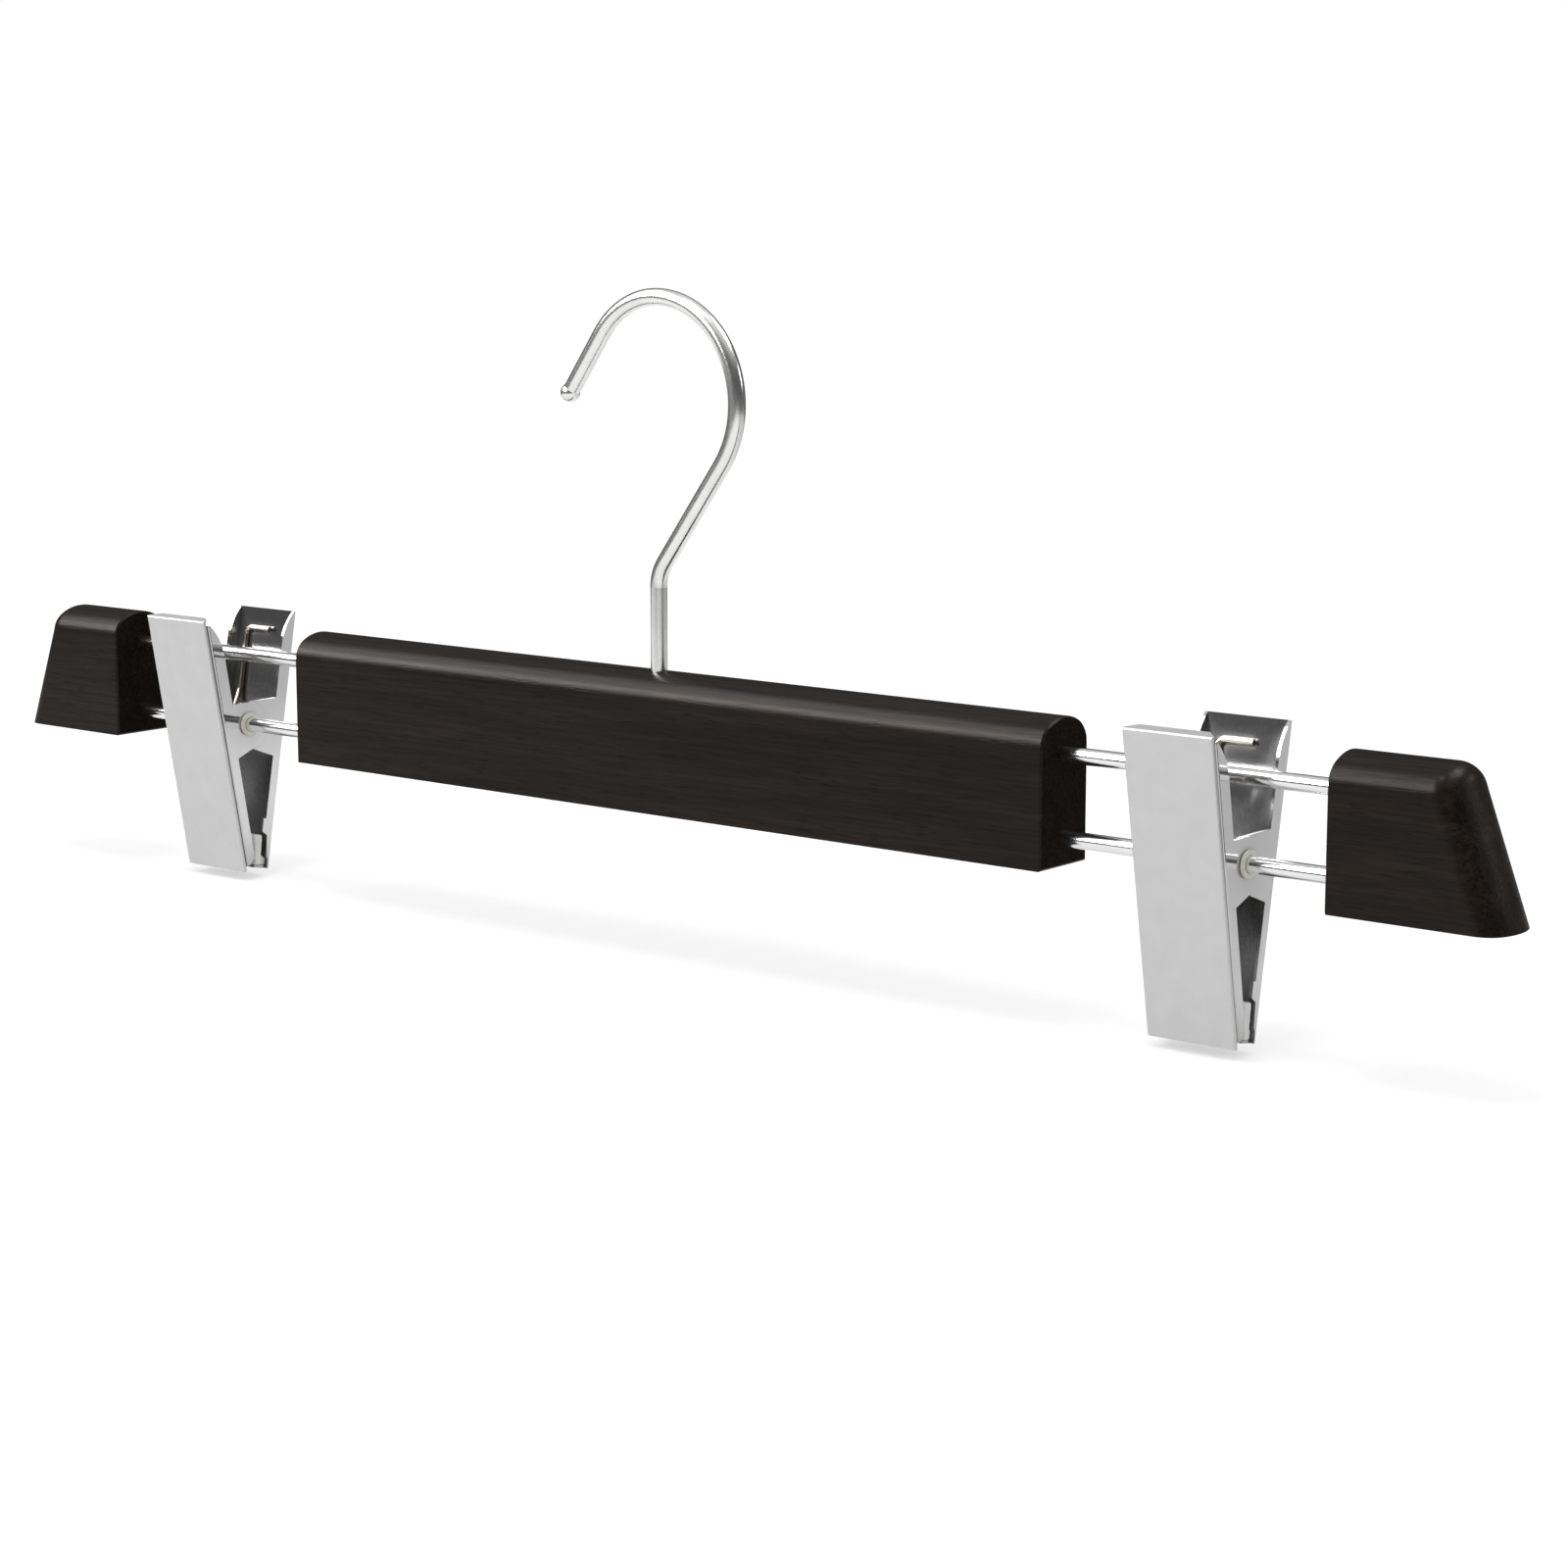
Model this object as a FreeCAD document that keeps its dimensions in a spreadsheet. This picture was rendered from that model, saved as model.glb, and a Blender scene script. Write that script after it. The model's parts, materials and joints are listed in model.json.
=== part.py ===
import FreeCAD, Part
import math
import os
import Sketcher

# A skirt hanger: a wooden bar under a wire hook, wooden end caps on two pairs of rods, and a sprung
# clip that slides on each pair. Millimetres and degrees. The origin is where the hook sits on a
# rail, +Z is up, +X is along the bar, and the front faces -Y.

DIMENSIONS = [
    # Wooden bar and end caps
    ("bar_length", 186.9),
    ("bar_depth", 14.3),
    ("bar_height", 26.6),
    ("arch_side_radius", 4.5),
    ("arch_crown_radius", 9.8),
    ("wood_edge_break", 0.35),
    ("cap_length", 31.95),
    ("cap_end_radius", 12.0),
    ("cap_slant_angle", 20.5),
    ("cap_edge_radius", 4.2),
    # Rods
    ("rod_diameter", 3.0),
    ("rod_span", 56.2),
    ("upper_rod_height", 19.9),
    ("lower_rod_height", 5.0),
    ("rod_socket_in_bar", 25.0),
    ("rod_socket_in_cap", 16.0),
    ("rod_end_play", 0.25),
    ("rod_socket_clearance", 0.03),
    # Hook, and the washer and nut that hold it under the bar
    ("hook_wire", 3.3),
    ("hook_opening", 35.5),
    ("hook_slant_angle", 36.5),
    ("hook_bend_radius", 8.0),
    ("hook_bend_rise", 18.5),
    ("hook_tip_angle", 35.7),
    ("hook_tip_arc", 17.2),
    ("hook_tip_length", 14.1),
    ("hook_bead", 3.8),
    ("hook_hole_clearance", 0.08),
    ("counterbore_diameter", 11.0),
    ("counterbore_depth", 9.0),
    ("washer_diameter", 9.0),
    ("washer_thickness", 0.8),
    ("washer_play", 0.1),
    ("nut_width", 6.0),
    ("nut_height", 2.6),
    ("nut_grip", 0.02),
    ("hook_end_length", 1.0),
    # Places of the clips' middles along the rods, from the bar's ends
    ("right_clip_place", 28.35),
    ("left_clip_place", 31.2),
    # Folded sheet of the jaws
    ("sheet_thickness", 0.6),
    ("fold_radius", 0.4),
    ("ear_clearance", 0.08),
    ("jaw_width", 17.2),
    ("ear_top_height", 4.65),
    ("ear_drop", 6.4),
    ("ear_slope_angle", 21.3),
    ("lug_reach", 4.3),
    ("lug_corner_radius", 3.4),
    ("horn_radius", 11.5),
    # Front jaw and its cover
    ("front_lean_angle", 10.0),
    ("cover_offset", 7.8),
    ("cover_overhang", 0.3),
    ("cover_top", 24.7),
    ("cover_bottom", 31.0),
    ("cover_lip", 2.6),
    ("cover_lip_corner", 2.0),
    ("cover_return", 0.8),
    ("cover_seat", 1.0),
    ("cover_step_start", 0.5),
    ("cover_step_end", 3.0),
    ("front_top", 23.3),
    ("front_bottom", 29.9),
    ("front_band", 3.2),
    ("front_lower_band", 2.35),
    ("front_toe_radius", 2.6),
    # Rear jaw
    ("rear_lean_angle", 10.2),
    ("rear_offset", 10.8),
    ("rear_top", 24.9),
    ("rear_bottom", 30.75),
    ("rear_band", 3.2),
    ("rear_lower_band", 2.3),
    ("rear_cheek_bottom", 22.9),
    ("rear_cheek_height", 2.9),
    ("rear_cheek_band", 3.0),
    ("rear_cutback", 1.6),
    ("rear_cutback_bottom", 27.9),
    ("rear_toe_band", 1.15),
    ("rear_toe_rise", 1.8),
    ("rear_lip", 3.8),
    # Pads
    ("grip_plane", 1.1),
    ("grip_gap", 0.3),
    ("pad_top", 23.6),
    ("front_pad_bottom", 29.6),
    ("pad_side_clearance", 0.15),
    ("pad_seat", 0.02),
    ("rear_pad_top_depth", 2.5),
    ("rear_pad_waist", 2.0),
    ("rear_pad_heel", 1.6),
    ("rear_pad_instep", 0.7),
    # Bushes
    ("bush_bore_clearance", 0.08),
    ("bush_diameter", 3.9),
    ("bush_fit", 0.05),
    ("bush_flange_diameter", 4.9),
    ("bush_flange_thickness", 0.5),
    ("bush_end_clearance", 0.1),
    # Spring
    ("spring_wire", 1.2),
    ("spring_bore_clearance", 0.25),
    ("spring_width", 10.6),
    ("spring_whole_turns", 5),
    ("spring_bend_radius", 1.5),
    ("spring_arm", 7.2),
    ("rear_leg_height", 20.4),
    ("front_leg_height", 19.5),
    ("spring_seat", 0.1),
    # How far every cut runs past the surface that it opens
    ("cut_overrun", 2.0),
]

# Part of the sheet's thickness within which a picked edge lies on its line
pick_share = 0.05

# Part of the spring wire's thickness between the points that its gaps are measured on
sample_share = 0.2

doc = FreeCAD.newDocument("skirt_hanger")
sheet = doc.addObject("Spreadsheet::Sheet", "Dimensions")
for row, (alias, number) in enumerate(DIMENSIONS, start=1):
    sheet.set(f"A{row}", alias)
    sheet.set(f"B{row}", str(number))
    sheet.setAlias(f"B{row}", alias)
doc.recompute()


class Size:
    """A length or angle: its value, and the expression of sheet cells that gives it."""

    def __init__(self, value, text):
        self.value = float(value)
        self.text = text

    def __add__(self, other):
        return Size(self.value + other.value, f"({self.text} + {other.text})")

    def __sub__(self, other):
        return Size(self.value - other.value, f"({self.text} - {other.text})")

    def __mul__(self, other):
        other = as_size(other)
        return Size(self.value * other.value, f"({self.text} * {other.text})")

    def __truediv__(self, other):
        other = as_size(other)
        return Size(self.value / other.value, f"({self.text} / {other.text})")

    def __neg__(self):
        return self * -1

    def root(self):
        return Size(math.sqrt(self.value), f"sqrt({self.text})")

    def sine(self):
        return Size(math.sin(math.radians(self.value)), f"sin({self.text})")

    def cosine(self):
        return Size(math.cos(math.radians(self.value)), f"cos({self.text})")

    def tangent(self):
        return Size(math.tan(math.radians(self.value)), f"tan({self.text})")


def as_size(number):
    return number if isinstance(number, Size) else Size(number, repr(number))


def dim(alias):
    return Size(sheet.get(alias), f"Dimensions.{alias}")


ZERO = as_size(0)
QUARTER_TURN = as_size(90)
HALF_TURN = as_size(180)
X_AXIS = FreeCAD.Vector(1, 0, 0)
Y_AXIS = FreeCAD.Vector(0, 1, 0)
Z_AXIS = FreeCAD.Vector(0, 0, 1)

overrun = dim("cut_overrun")
half_bar = dim("bar_length") / 2
cap_start = half_bar + dim("rod_span")
rod_radius = dim("rod_diameter") / 2
wall = dim("sheet_thickness")

# The hook's arc stands on a slant that is tangent to it and meets the stem's line at the bend, so
# the arc's radius and the slant's angle give the height of the rail's seat over the bar.
hook_arc = (dim("hook_opening") + dim("hook_wire")) / 2
arc_over_bend = hook_arc / dim("hook_slant_angle").sine()
bar_base = -(dim("bar_height") + dim("hook_bend_rise") + arc_over_bend + dim("hook_opening") / 2)
pivot_height = bar_base + dim("lower_rod_height")
washer_base = bar_base + dim("counterbore_depth") - dim("washer_play") - dim("washer_thickness")
nut_base = washer_base - dim("nut_height")

# Each jaw has one ear outside and one inside the other jaw's, so the jaws stand half an ear apart.
jaw_shift = (wall + dim("ear_clearance")) / 2
ear_outside = dim("jaw_width") / 2 + jaw_shift
cover_width = dim("jaw_width") + dim("cover_overhang") * 2
pad_width = dim("jaw_width") - wall * 2 - dim("pad_side_clearance") * 2
front_offset = dim("cover_offset") - dim("cover_seat")

parts = []


def bind(target, path, size):
    target.setExpression(path, size.text)


def place(target, x=ZERO, y=ZERO, z=ZERO, axis=Z_AXIS, angle=ZERO):
    base = FreeCAD.Vector(x.value, y.value, z.value)
    target.Placement = FreeCAD.Placement(base, FreeCAD.Rotation(axis, angle.value))
    bind(target, "Placement.Base.x", x)
    bind(target, "Placement.Base.y", y)
    bind(target, "Placement.Base.z", z)
    if angle is not ZERO:
        bind(target, "Placement.Rotation.Angle", angle)


def new_part(kind, label):
    part = doc.addObject(kind, label)
    part.Label = label
    parts.append(part)
    return part


def new_body(label):
    return new_part("PartDesign::Body", label)


def origin_plane(body, role):
    return [feature for feature in body.Origin.OriginFeatures if feature.Role == role][0]


def new_sketch(body, role, offset=None):
    sketch = body.newObject("Sketcher::SketchObject", f"{body.Name}_sketch")
    sketch.AttachmentSupport = [(origin_plane(body, role), "")]
    sketch.MapMode = "FlatFace"
    if offset is not None:
        bind(sketch, "AttachmentOffset.Base.z", offset)
    return sketch


def constrain(sketch, size, kind, *where):
    index = sketch.addConstraint(Sketcher.Constraint(kind, *where, size.value))
    bind(sketch, f"Constraints[{index}]", size)


def pin_point(sketch, geometry, end, point):
    constrain(sketch, point[0], "DistanceX", geometry, end)
    constrain(sketch, point[1], "DistanceY", geometry, end)


def arc_middle(first, last, radius, side):
    """The middle of the short arc that bulges to the left (side 1) or the right (side -1)."""
    chord = last - first
    half = chord.Length / 2
    rise = radius - math.sqrt(radius * radius - half * half)
    left = FreeCAD.Vector(-chord.y, chord.x, 0).normalize()
    return (first + last) / 2 + left * rise * side


def trace(sketch, start, steps, closed=True):
    """Draw from point to point. A step is a point, or a point with an arc's radius and side."""
    here = start
    drawn = []
    for step in steps:
        point, radius, side = step if len(step) == 3 else (step, None, 0)
        first = FreeCAD.Vector(here[0].value, here[1].value, 0)
        last = FreeCAD.Vector(point[0].value, point[1].value, 0)
        begin, end = (2, 1) if side > 0 else (1, 2)
        if radius is None:
            line = sketch.addGeometry(Part.LineSegment(first, last))
        else:
            middle = arc_middle(first, last, radius.value, side)
            line = sketch.addGeometry(Part.Arc(first, middle, last))
            constrain(sketch, radius, "Radius", line)
        pin_point(sketch, line, begin, here)
        if drawn:
            sketch.addConstraint(Sketcher.Constraint("Coincident", *drawn[-1][1], line, begin))
        drawn.append(((line, begin), (line, end)))
        here = point
    if closed:
        sketch.addConstraint(Sketcher.Constraint("Coincident", *drawn[-1][1], *drawn[0][0]))
    else:
        pin_point(sketch, *drawn[-1][1], here)


def draw_circle(sketch, radius, x=ZERO, y=ZERO):
    centre = FreeCAD.Vector(x.value, y.value, 0)
    ring = sketch.addGeometry(Part.Circle(centre, Z_AXIS, radius.value))
    constrain(sketch, radius, "Radius", ring)
    pin_point(sketch, ring, 3, (x, y))


def pad(body, sketch, length, middle=True):
    feature = body.newObject("PartDesign::Pad", f"{body.Name}_pad")
    feature.Profile = sketch
    feature.SideType = "Symmetric" if middle else "One side"
    bind(feature, "Length", length)
    doc.recompute()


def pocket(body, sketch, length, middle=True, forward=False, lean=None):
    """Cut a sketch's shape out, to both sides of its plane or to one of them, or upwards leaning along X."""
    before = body.Shape.Volume
    feature = body.newObject("PartDesign::Pocket", f"{body.Name}_pocket")
    feature.Profile = sketch
    feature.SideType = "Symmetric" if middle else "One side"
    feature.Reversed = forward
    if lean is not None:
        feature.UseCustomVector = True
        feature.Direction = Z_AXIS
        bind(feature, "Direction.x", lean)
    bind(feature, "Length", length)
    doc.recompute()
    if body.Shape.Volume >= before:
        raise RuntimeError(f"a cut in {body.Label} takes nothing away")
    return feature


def middle_of(edge):
    return edge.valueAt((edge.FirstParameter + edge.LastParameter) / 2)


def lies(edge, test):
    """Whether both ends and the middle of an edge pass a test."""
    return all(test(point) for point in [vertex.Point for vertex in edge.Vertexes] + [middle_of(edge)])


def near(value, size):
    return abs(value - size.value) < wall.value * pick_share


def dress(body, kind, path, size, choose):
    """Round or break the edges of a body that are chosen."""
    base = body.Tip
    names = [f"Edge{number}" for number, edge in enumerate(base.Shape.Edges, start=1) if choose(edge)]
    if not names:
        raise RuntimeError(f"no edge of {body.Label} is chosen")
    feature = body.newObject(f"PartDesign::{kind}", f"{body.Name}_{kind.lower()}")
    feature.Base = (base, names)
    bind(feature, path, size)
    doc.recompute()


def fillet(body, radius, choose):
    dress(body, "Fillet", "Radius", radius, choose)


def chamfer(body, size, choose):
    dress(body, "Chamfer", "Size", size, choose)


def arch_section(sketch):
    """The bar's section: flat below, and a crown between two side arcs above."""
    half_depth = dim("bar_depth") / 2
    side = dim("arch_side_radius")
    crown = dim("arch_crown_radius")
    side_centre = half_depth - side
    rise = ((crown - side) * (crown - side) - side_centre * side_centre).root()
    crown_centre = dim("bar_height") - crown
    meet_share = crown / (crown - side)
    meet = (side_centre * meet_share, crown_centre + rise * meet_share)
    shoulder = crown_centre + rise
    steps = [
        (half_depth, ZERO),
        (half_depth, shoulder),
        (meet, side, -1),
        ((-meet[0], meet[1]), crown, -1),
        ((-half_depth, shoulder), side, -1),
        (-half_depth, ZERO),
    ]
    trace(sketch, (-half_depth, ZERO), steps)


def rod_sockets(body, plane_offset, depth, forward):
    sketch = new_sketch(body, "YZ_Plane", plane_offset)
    for height in ("upper_rod_height", "lower_rod_height"):
        draw_circle(sketch, rod_radius + dim("rod_socket_clearance"), ZERO, dim(height))
    return pocket(body, sketch, depth, middle=False, forward=forward)


def make_center_bar():
    body = new_body("center_bar")
    section = new_sketch(body, "YZ_Plane")
    arch_section(section)
    pad(body, section, dim("bar_length"))
    chamfer(
        body, dim("wood_edge_break"), lambda edge: lies(edge, lambda point: near(abs(point.x), half_bar))
    )
    sockets = rod_sockets(body, half_bar, dim("rod_socket_in_bar"), forward=False)
    mirrored = body.newObject("PartDesign::Mirrored", "center_bar_mirrored")
    mirrored.Originals = [sockets]
    mirrored.MirrorPlane = (origin_plane(body, "YZ_Plane"), [""])
    body.Tip = mirrored
    doc.recompute()
    through = new_sketch(body, "XY_Plane")
    draw_circle(through, dim("hook_wire") / 2 + dim("hook_hole_clearance"))
    pocket(body, through, dim("bar_height") + overrun, middle=False, forward=True)
    counterbore = new_sketch(body, "XY_Plane")
    draw_circle(counterbore, dim("counterbore_diameter") / 2)
    pocket(body, counterbore, dim("counterbore_depth"), middle=False, forward=True)
    place(body, z=bar_base)


def make_end_cap(label, start, turn):
    body = new_body(label)
    length = dim("cap_length")
    slant = dim("cap_slant_angle").tangent()
    section = new_sketch(body, "YZ_Plane")
    arch_section(section)
    pad(body, section, length, middle=False)
    chamfer(body, dim("wood_edge_break"), lambda edge: lies(edge, lambda point: near(point.x, ZERO)))
    bow = dim("cap_end_radius")
    reach = (dim("bar_depth") / 2 + bow) / 2
    shoulder = length - bow + (bow * bow - reach * reach).root()
    clear = length + dim("bar_height")
    near_corner = (shoulder, -reach)
    far_corner = (shoulder, reach)
    cut = new_sketch(body, "XY_Plane")
    trace(cut, near_corner, [(clear, -reach), (clear, reach), far_corner, (near_corner, bow, 1)])
    pocket(body, cut, dim("bar_height") + overrun, middle=False, lean=-slant)

    def on_outer_face(point):
        along = point.x + point.z * slant.value - (length - bow).value
        return near(math.hypot(along, point.y), bow)

    def on_upper_rim(edge):
        return lies(edge, on_outer_face) and not near(middle_of(edge).z, ZERO)

    fillet(body, dim("cap_edge_radius"), on_upper_rim)
    rod_sockets(body, ZERO, dim("rod_socket_in_cap"), forward=True)
    place(body, x=start, z=bar_base, angle=turn)


def make_rod(label, start, height):
    rod = new_part("Part::Cylinder", label)
    sockets = dim("rod_socket_in_bar") + dim("rod_socket_in_cap")
    bind(rod, "Radius", rod_radius)
    bind(rod, "Height", dim("rod_span") + sockets - dim("rod_end_play") * 2)
    place(rod, x=start, z=bar_base + height, axis=Y_AXIS, angle=QUARTER_TURN)


def make_hook():
    body = new_body("hook")
    wire_radius = dim("hook_wire") / 2
    stem_base = nut_base - dim("hook_end_length")
    slant = dim("hook_slant_angle")
    tip = dim("hook_tip_angle")
    bend_height = bar_base + dim("bar_height") + dim("hook_bend_rise")
    bend_tangent = dim("hook_bend_radius") * (slant / 2).tangent()
    arc_centre = -dim("hook_opening") / 2
    arc_top = arc_centre + hook_arc
    tip_arc = dim("hook_tip_arc")
    arc_end = (-tip_arc * tip.cosine(), arc_top - tip_arc + tip_arc * tip.sine())
    run = dim("hook_tip_length")
    bead = (arc_end[0] - run * tip.sine(), arc_end[1] - run * tip.cosine())
    after_bend = (bend_tangent * slant.sine(), bend_height + bend_tangent * slant.cosine())
    spine = new_sketch(body, "XZ_Plane")
    steps = [
        (ZERO, bend_height - bend_tangent),
        (after_bend, dim("hook_bend_radius"), 1),
        (hook_arc * slant.cosine(), arc_centre - hook_arc * slant.sine()),
        ((ZERO, arc_top), hook_arc, -1),
        (arc_end, tip_arc, -1),
        bead,
    ]
    trace(spine, (ZERO, stem_base), steps, closed=False)
    section = new_sketch(body, "XY_Plane", stem_base)
    draw_circle(section, wire_radius)
    pipe = body.newObject("PartDesign::AdditivePipe", "hook_pipe")
    pipe.Profile = section
    pipe.Spine = (spine, [])
    doc.recompute()
    ball = body.newObject("PartDesign::AdditiveSphere", "hook_ball")
    bind(ball, "Radius", dim("hook_bead") / 2)
    place(ball, x=bead[0], z=bead[1])
    doc.recompute()
    place(body)


def make_ring(label, blank, bore_radius, base, height):
    """A flat ring: a blank with a round hole cut through it along Z."""
    bind(blank, "Height", height)
    place(blank, z=base)
    bore = doc.addObject("Part::Cylinder", f"{label}_bore")
    bind(bore, "Radius", bore_radius)
    bind(bore, "Height", height + overrun * 2)
    place(bore, z=base - overrun)
    ring = new_part("Part::Cut", label)
    ring.Base = blank
    ring.Tool = bore


def make_hook_fasteners():
    disc = doc.addObject("Part::Cylinder", "hook_washer_disc")
    bind(disc, "Radius", dim("washer_diameter") / 2)
    grip = dim("hook_wire") / 2 + dim("nut_grip")
    make_ring("hook_washer", disc, grip, washer_base, dim("washer_thickness"))
    prism = doc.addObject("Part::Prism", "hook_nut_prism")
    bind(prism, "Circumradius", dim("nut_width") / 2 / (HALF_TURN / 6).cosine())
    make_ring("hook_nut", prism, grip, nut_base, dim("nut_height"))


class Jaw:
    """The side of a clip that a jaw is on, and where its plate stands in its own leaning frame."""

    def __init__(self, name, facing, offset):
        self.name = name
        self.facing = facing
        self.offset = offset
        self.lean = dim(f"{name}_lean_angle")
        self.top = dim(f"{name}_top")
        self.bottom = dim(f"{name}_bottom")
        self.band = dim(f"{name}_band")
        self.lower_band = dim(f"{name}_lower_band")

    def at(self, depth, height):
        """A point at a depth behind the plate's outer face, and a height along the plate."""
        return ((self.offset - depth) * self.facing, height)

    def height_of_level(self, across, level):
        """The height along the plate, at a place across it, of a level over the pivot."""
        return (level + across * self.lean.sine()) / self.lean.cosine()

    def depth_of_plane(self, height, plane):
        """The depth behind the outer face, at a height, of an upright plane at a place along Y."""
        across = plane * self.facing - height * self.lean.sine()
        return self.offset - across / self.lean.cosine()

    def trace_behind(self, sketch, depth, low, high):
        """Draw a rectangle from the plate's inner face to a depth, between two heights."""
        first = self.at(wall, low)
        trace(sketch, first, [self.at(wall, high), self.at(depth, high), self.at(depth, low), first])

    def put(self, body, centre):
        shift = jaw_shift * -self.facing
        self.put_unshifted(body, centre + shift)

    def put_unshifted(self, body, x):
        place(body, x=x, z=pivot_height, axis=X_AXIS * -self.facing, angle=self.lean)


FRONT = Jaw("front", -1, front_offset)
REAR = Jaw("rear", 1, dim("rear_offset"))


def tangent_run(radius, width):
    """How far along an edge an arc starts that leaves it tangentially and ends a width aside."""
    return (radius * width * 2 - width * width).root()


def toe_steps(jaw):
    """The lower end of an ear, from its lower band to the foot of the plate."""
    if jaw is FRONT:
        radius = dim("front_toe_radius")
        start = -jaw.bottom + tangent_run(radius, jaw.lower_band - wall)
        return [jaw.at(jaw.lower_band, start), (jaw.at(wall, -jaw.bottom), radius, -jaw.facing)]
    cutback = dim("rear_cutback")
    cheek = dim("rear_cheek_band")
    cheek_bottom = -dim("rear_cheek_bottom")
    cheek_top = cheek_bottom + dim("rear_cheek_height")
    return [
        jaw.at(jaw.lower_band, cheek_top),
        jaw.at(cheek, cheek_top),
        jaw.at(cheek, cheek_bottom),
        jaw.at(cutback, cheek_bottom - jaw.lower_band + cutback),
        jaw.at(dim("rear_toe_band"), -dim("rear_cutback_bottom")),
        jaw.at(wall, dim("rear_toe_rise") - jaw.bottom),
        jaw.at(wall, -jaw.bottom),
    ]


def make_jaw(label, jaw, centre):
    """A folded sheet: an outer plate, and two ears with a lug each round the lower rod."""
    body = new_body(label)
    lug = jaw.offset + dim("lug_reach")
    lug_across = -dim("lug_reach")
    band_across = jaw.offset - jaw.band
    lug_rise = (lug - jaw.lower_band) * (dim("ear_slope_angle") - jaw.lean).tangent()
    lug_top = jaw.at(lug, jaw.height_of_level(lug_across, dim("ear_top_height")))
    lug_foot = jaw.at(lug, lug_rise - dim("ear_drop"))
    horn_start = jaw.top - tangent_run(dim("horn_radius"), jaw.band - wall)
    steps = [
        jaw.at(ZERO, jaw.top),
        jaw.at(wall, jaw.top),
        (jaw.at(jaw.band, horn_start), dim("horn_radius"), -jaw.facing),
        jaw.at(jaw.band, jaw.height_of_level(band_across, dim("ear_top_height"))),
        lug_top,
        lug_foot,
        jaw.at(jaw.lower_band, -dim("ear_drop")),
    ]
    outline = new_sketch(body, "YZ_Plane")
    foot = jaw.at(ZERO, -jaw.bottom)
    trace(outline, foot, steps + toe_steps(jaw) + [foot])
    pad(body, outline, dim("jaw_width"))

    def at_lug_corner(point):
        return near(point.y, lug_top[0]) and (near(point.z, lug_top[1]) or near(point.z, lug_foot[1]))

    def at_fold(point):
        return near(point.y, foot[0]) and near(abs(point.x), dim("jaw_width") / 2)

    fillet(body, dim("lug_corner_radius"), lambda edge: lies(edge, at_lug_corner))
    fillet(body, dim("fold_radius"), lambda edge: lies(edge, at_fold))
    channel = new_sketch(body, "YZ_Plane")
    jaw.trace_behind(channel, lug + overrun, -jaw.bottom - overrun, jaw.top + overrun)
    pocket(body, channel, dim("jaw_width") - wall * 2)
    bore = new_sketch(body, "YZ_Plane")
    draw_circle(bore, dim("bush_diameter") / 2 + dim("bush_fit"))
    pocket(body, bore, dim("jaw_width") + overrun)
    if jaw is REAR:
        add_lip(body, jaw)
    jaw.put(body, centre)


def add_lip(body, jaw):
    """The foot of the plate, folded inwards under the pad."""
    lip = new_sketch(body, "YZ_Plane")
    jaw.trace_behind(lip, dim("rear_lip"), -jaw.bottom, wall - jaw.bottom)
    pad(body, lip, dim("jaw_width") - wall * 2)


def make_cover(label, centre):
    """The plain plate over the front jaw: side returns that seat on the jaw, and a folded top lip."""
    body = new_body(label)
    cover = Jaw("front", -1, dim("cover_offset"))
    top = dim("cover_top")
    bottom = -dim("cover_bottom")
    lip = dim("cover_lip")
    shallow = dim("cover_return")
    deep = dim("cover_seat")
    steps = [
        cover.at(ZERO, top),
        cover.at(lip, top),
        cover.at(lip, top - wall),
        cover.at(shallow, top - wall),
        cover.at(shallow, -dim("cover_step_start")),
        cover.at(deep, -dim("cover_step_end")),
        cover.at(deep, bottom),
    ]
    outline = new_sketch(body, "YZ_Plane")
    foot = cover.at(ZERO, bottom)
    trace(outline, foot, steps + [foot])
    pad(body, outline, cover_width)
    half_width = cover_width / 2
    lip_end = cover.at(lip, top)[0]

    def at_lip_corner(point):
        return near(point.y, lip_end) and near(abs(point.x), half_width)

    def on_face(point):
        return near(point.y, foot[0])

    chamfer(body, dim("cover_lip_corner"), lambda edge: lies(edge, at_lip_corner))
    fillet(
        body,
        dim("fold_radius"),
        lambda edge: lies(edge, on_face) and not near(middle_of(edge).z, bottom),
    )
    hollow = new_sketch(body, "YZ_Plane")
    cover.trace_behind(hollow, lip + overrun, bottom - overrun, top - wall)
    pocket(body, hollow, cover_width - wall * 2)
    cover.put_unshifted(body, centre)


def add_block(body, steps, width):
    """Add a block of a width, with an outline through the given points."""
    outline = new_sketch(body, "YZ_Plane")
    trace(outline, steps[0], steps[1:] + steps[:1])
    pad(body, outline, width)


def make_front_pad(label, centre):
    """A wedge on the front plate, whose face is upright."""
    body = new_body(label)
    seat = wall + dim("pad_seat")
    plane = dim("grip_plane") - dim("grip_gap") / 2
    top = -dim("pad_top")
    bottom = -dim("front_pad_bottom")
    steps = [
        FRONT.at(seat, top),
        FRONT.at(seat, bottom),
        FRONT.at(FRONT.depth_of_plane(bottom, plane), bottom),
        FRONT.at(FRONT.depth_of_plane(top, plane), top),
    ]
    add_block(body, steps, pad_width)
    FRONT.put(body, centre)


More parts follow.
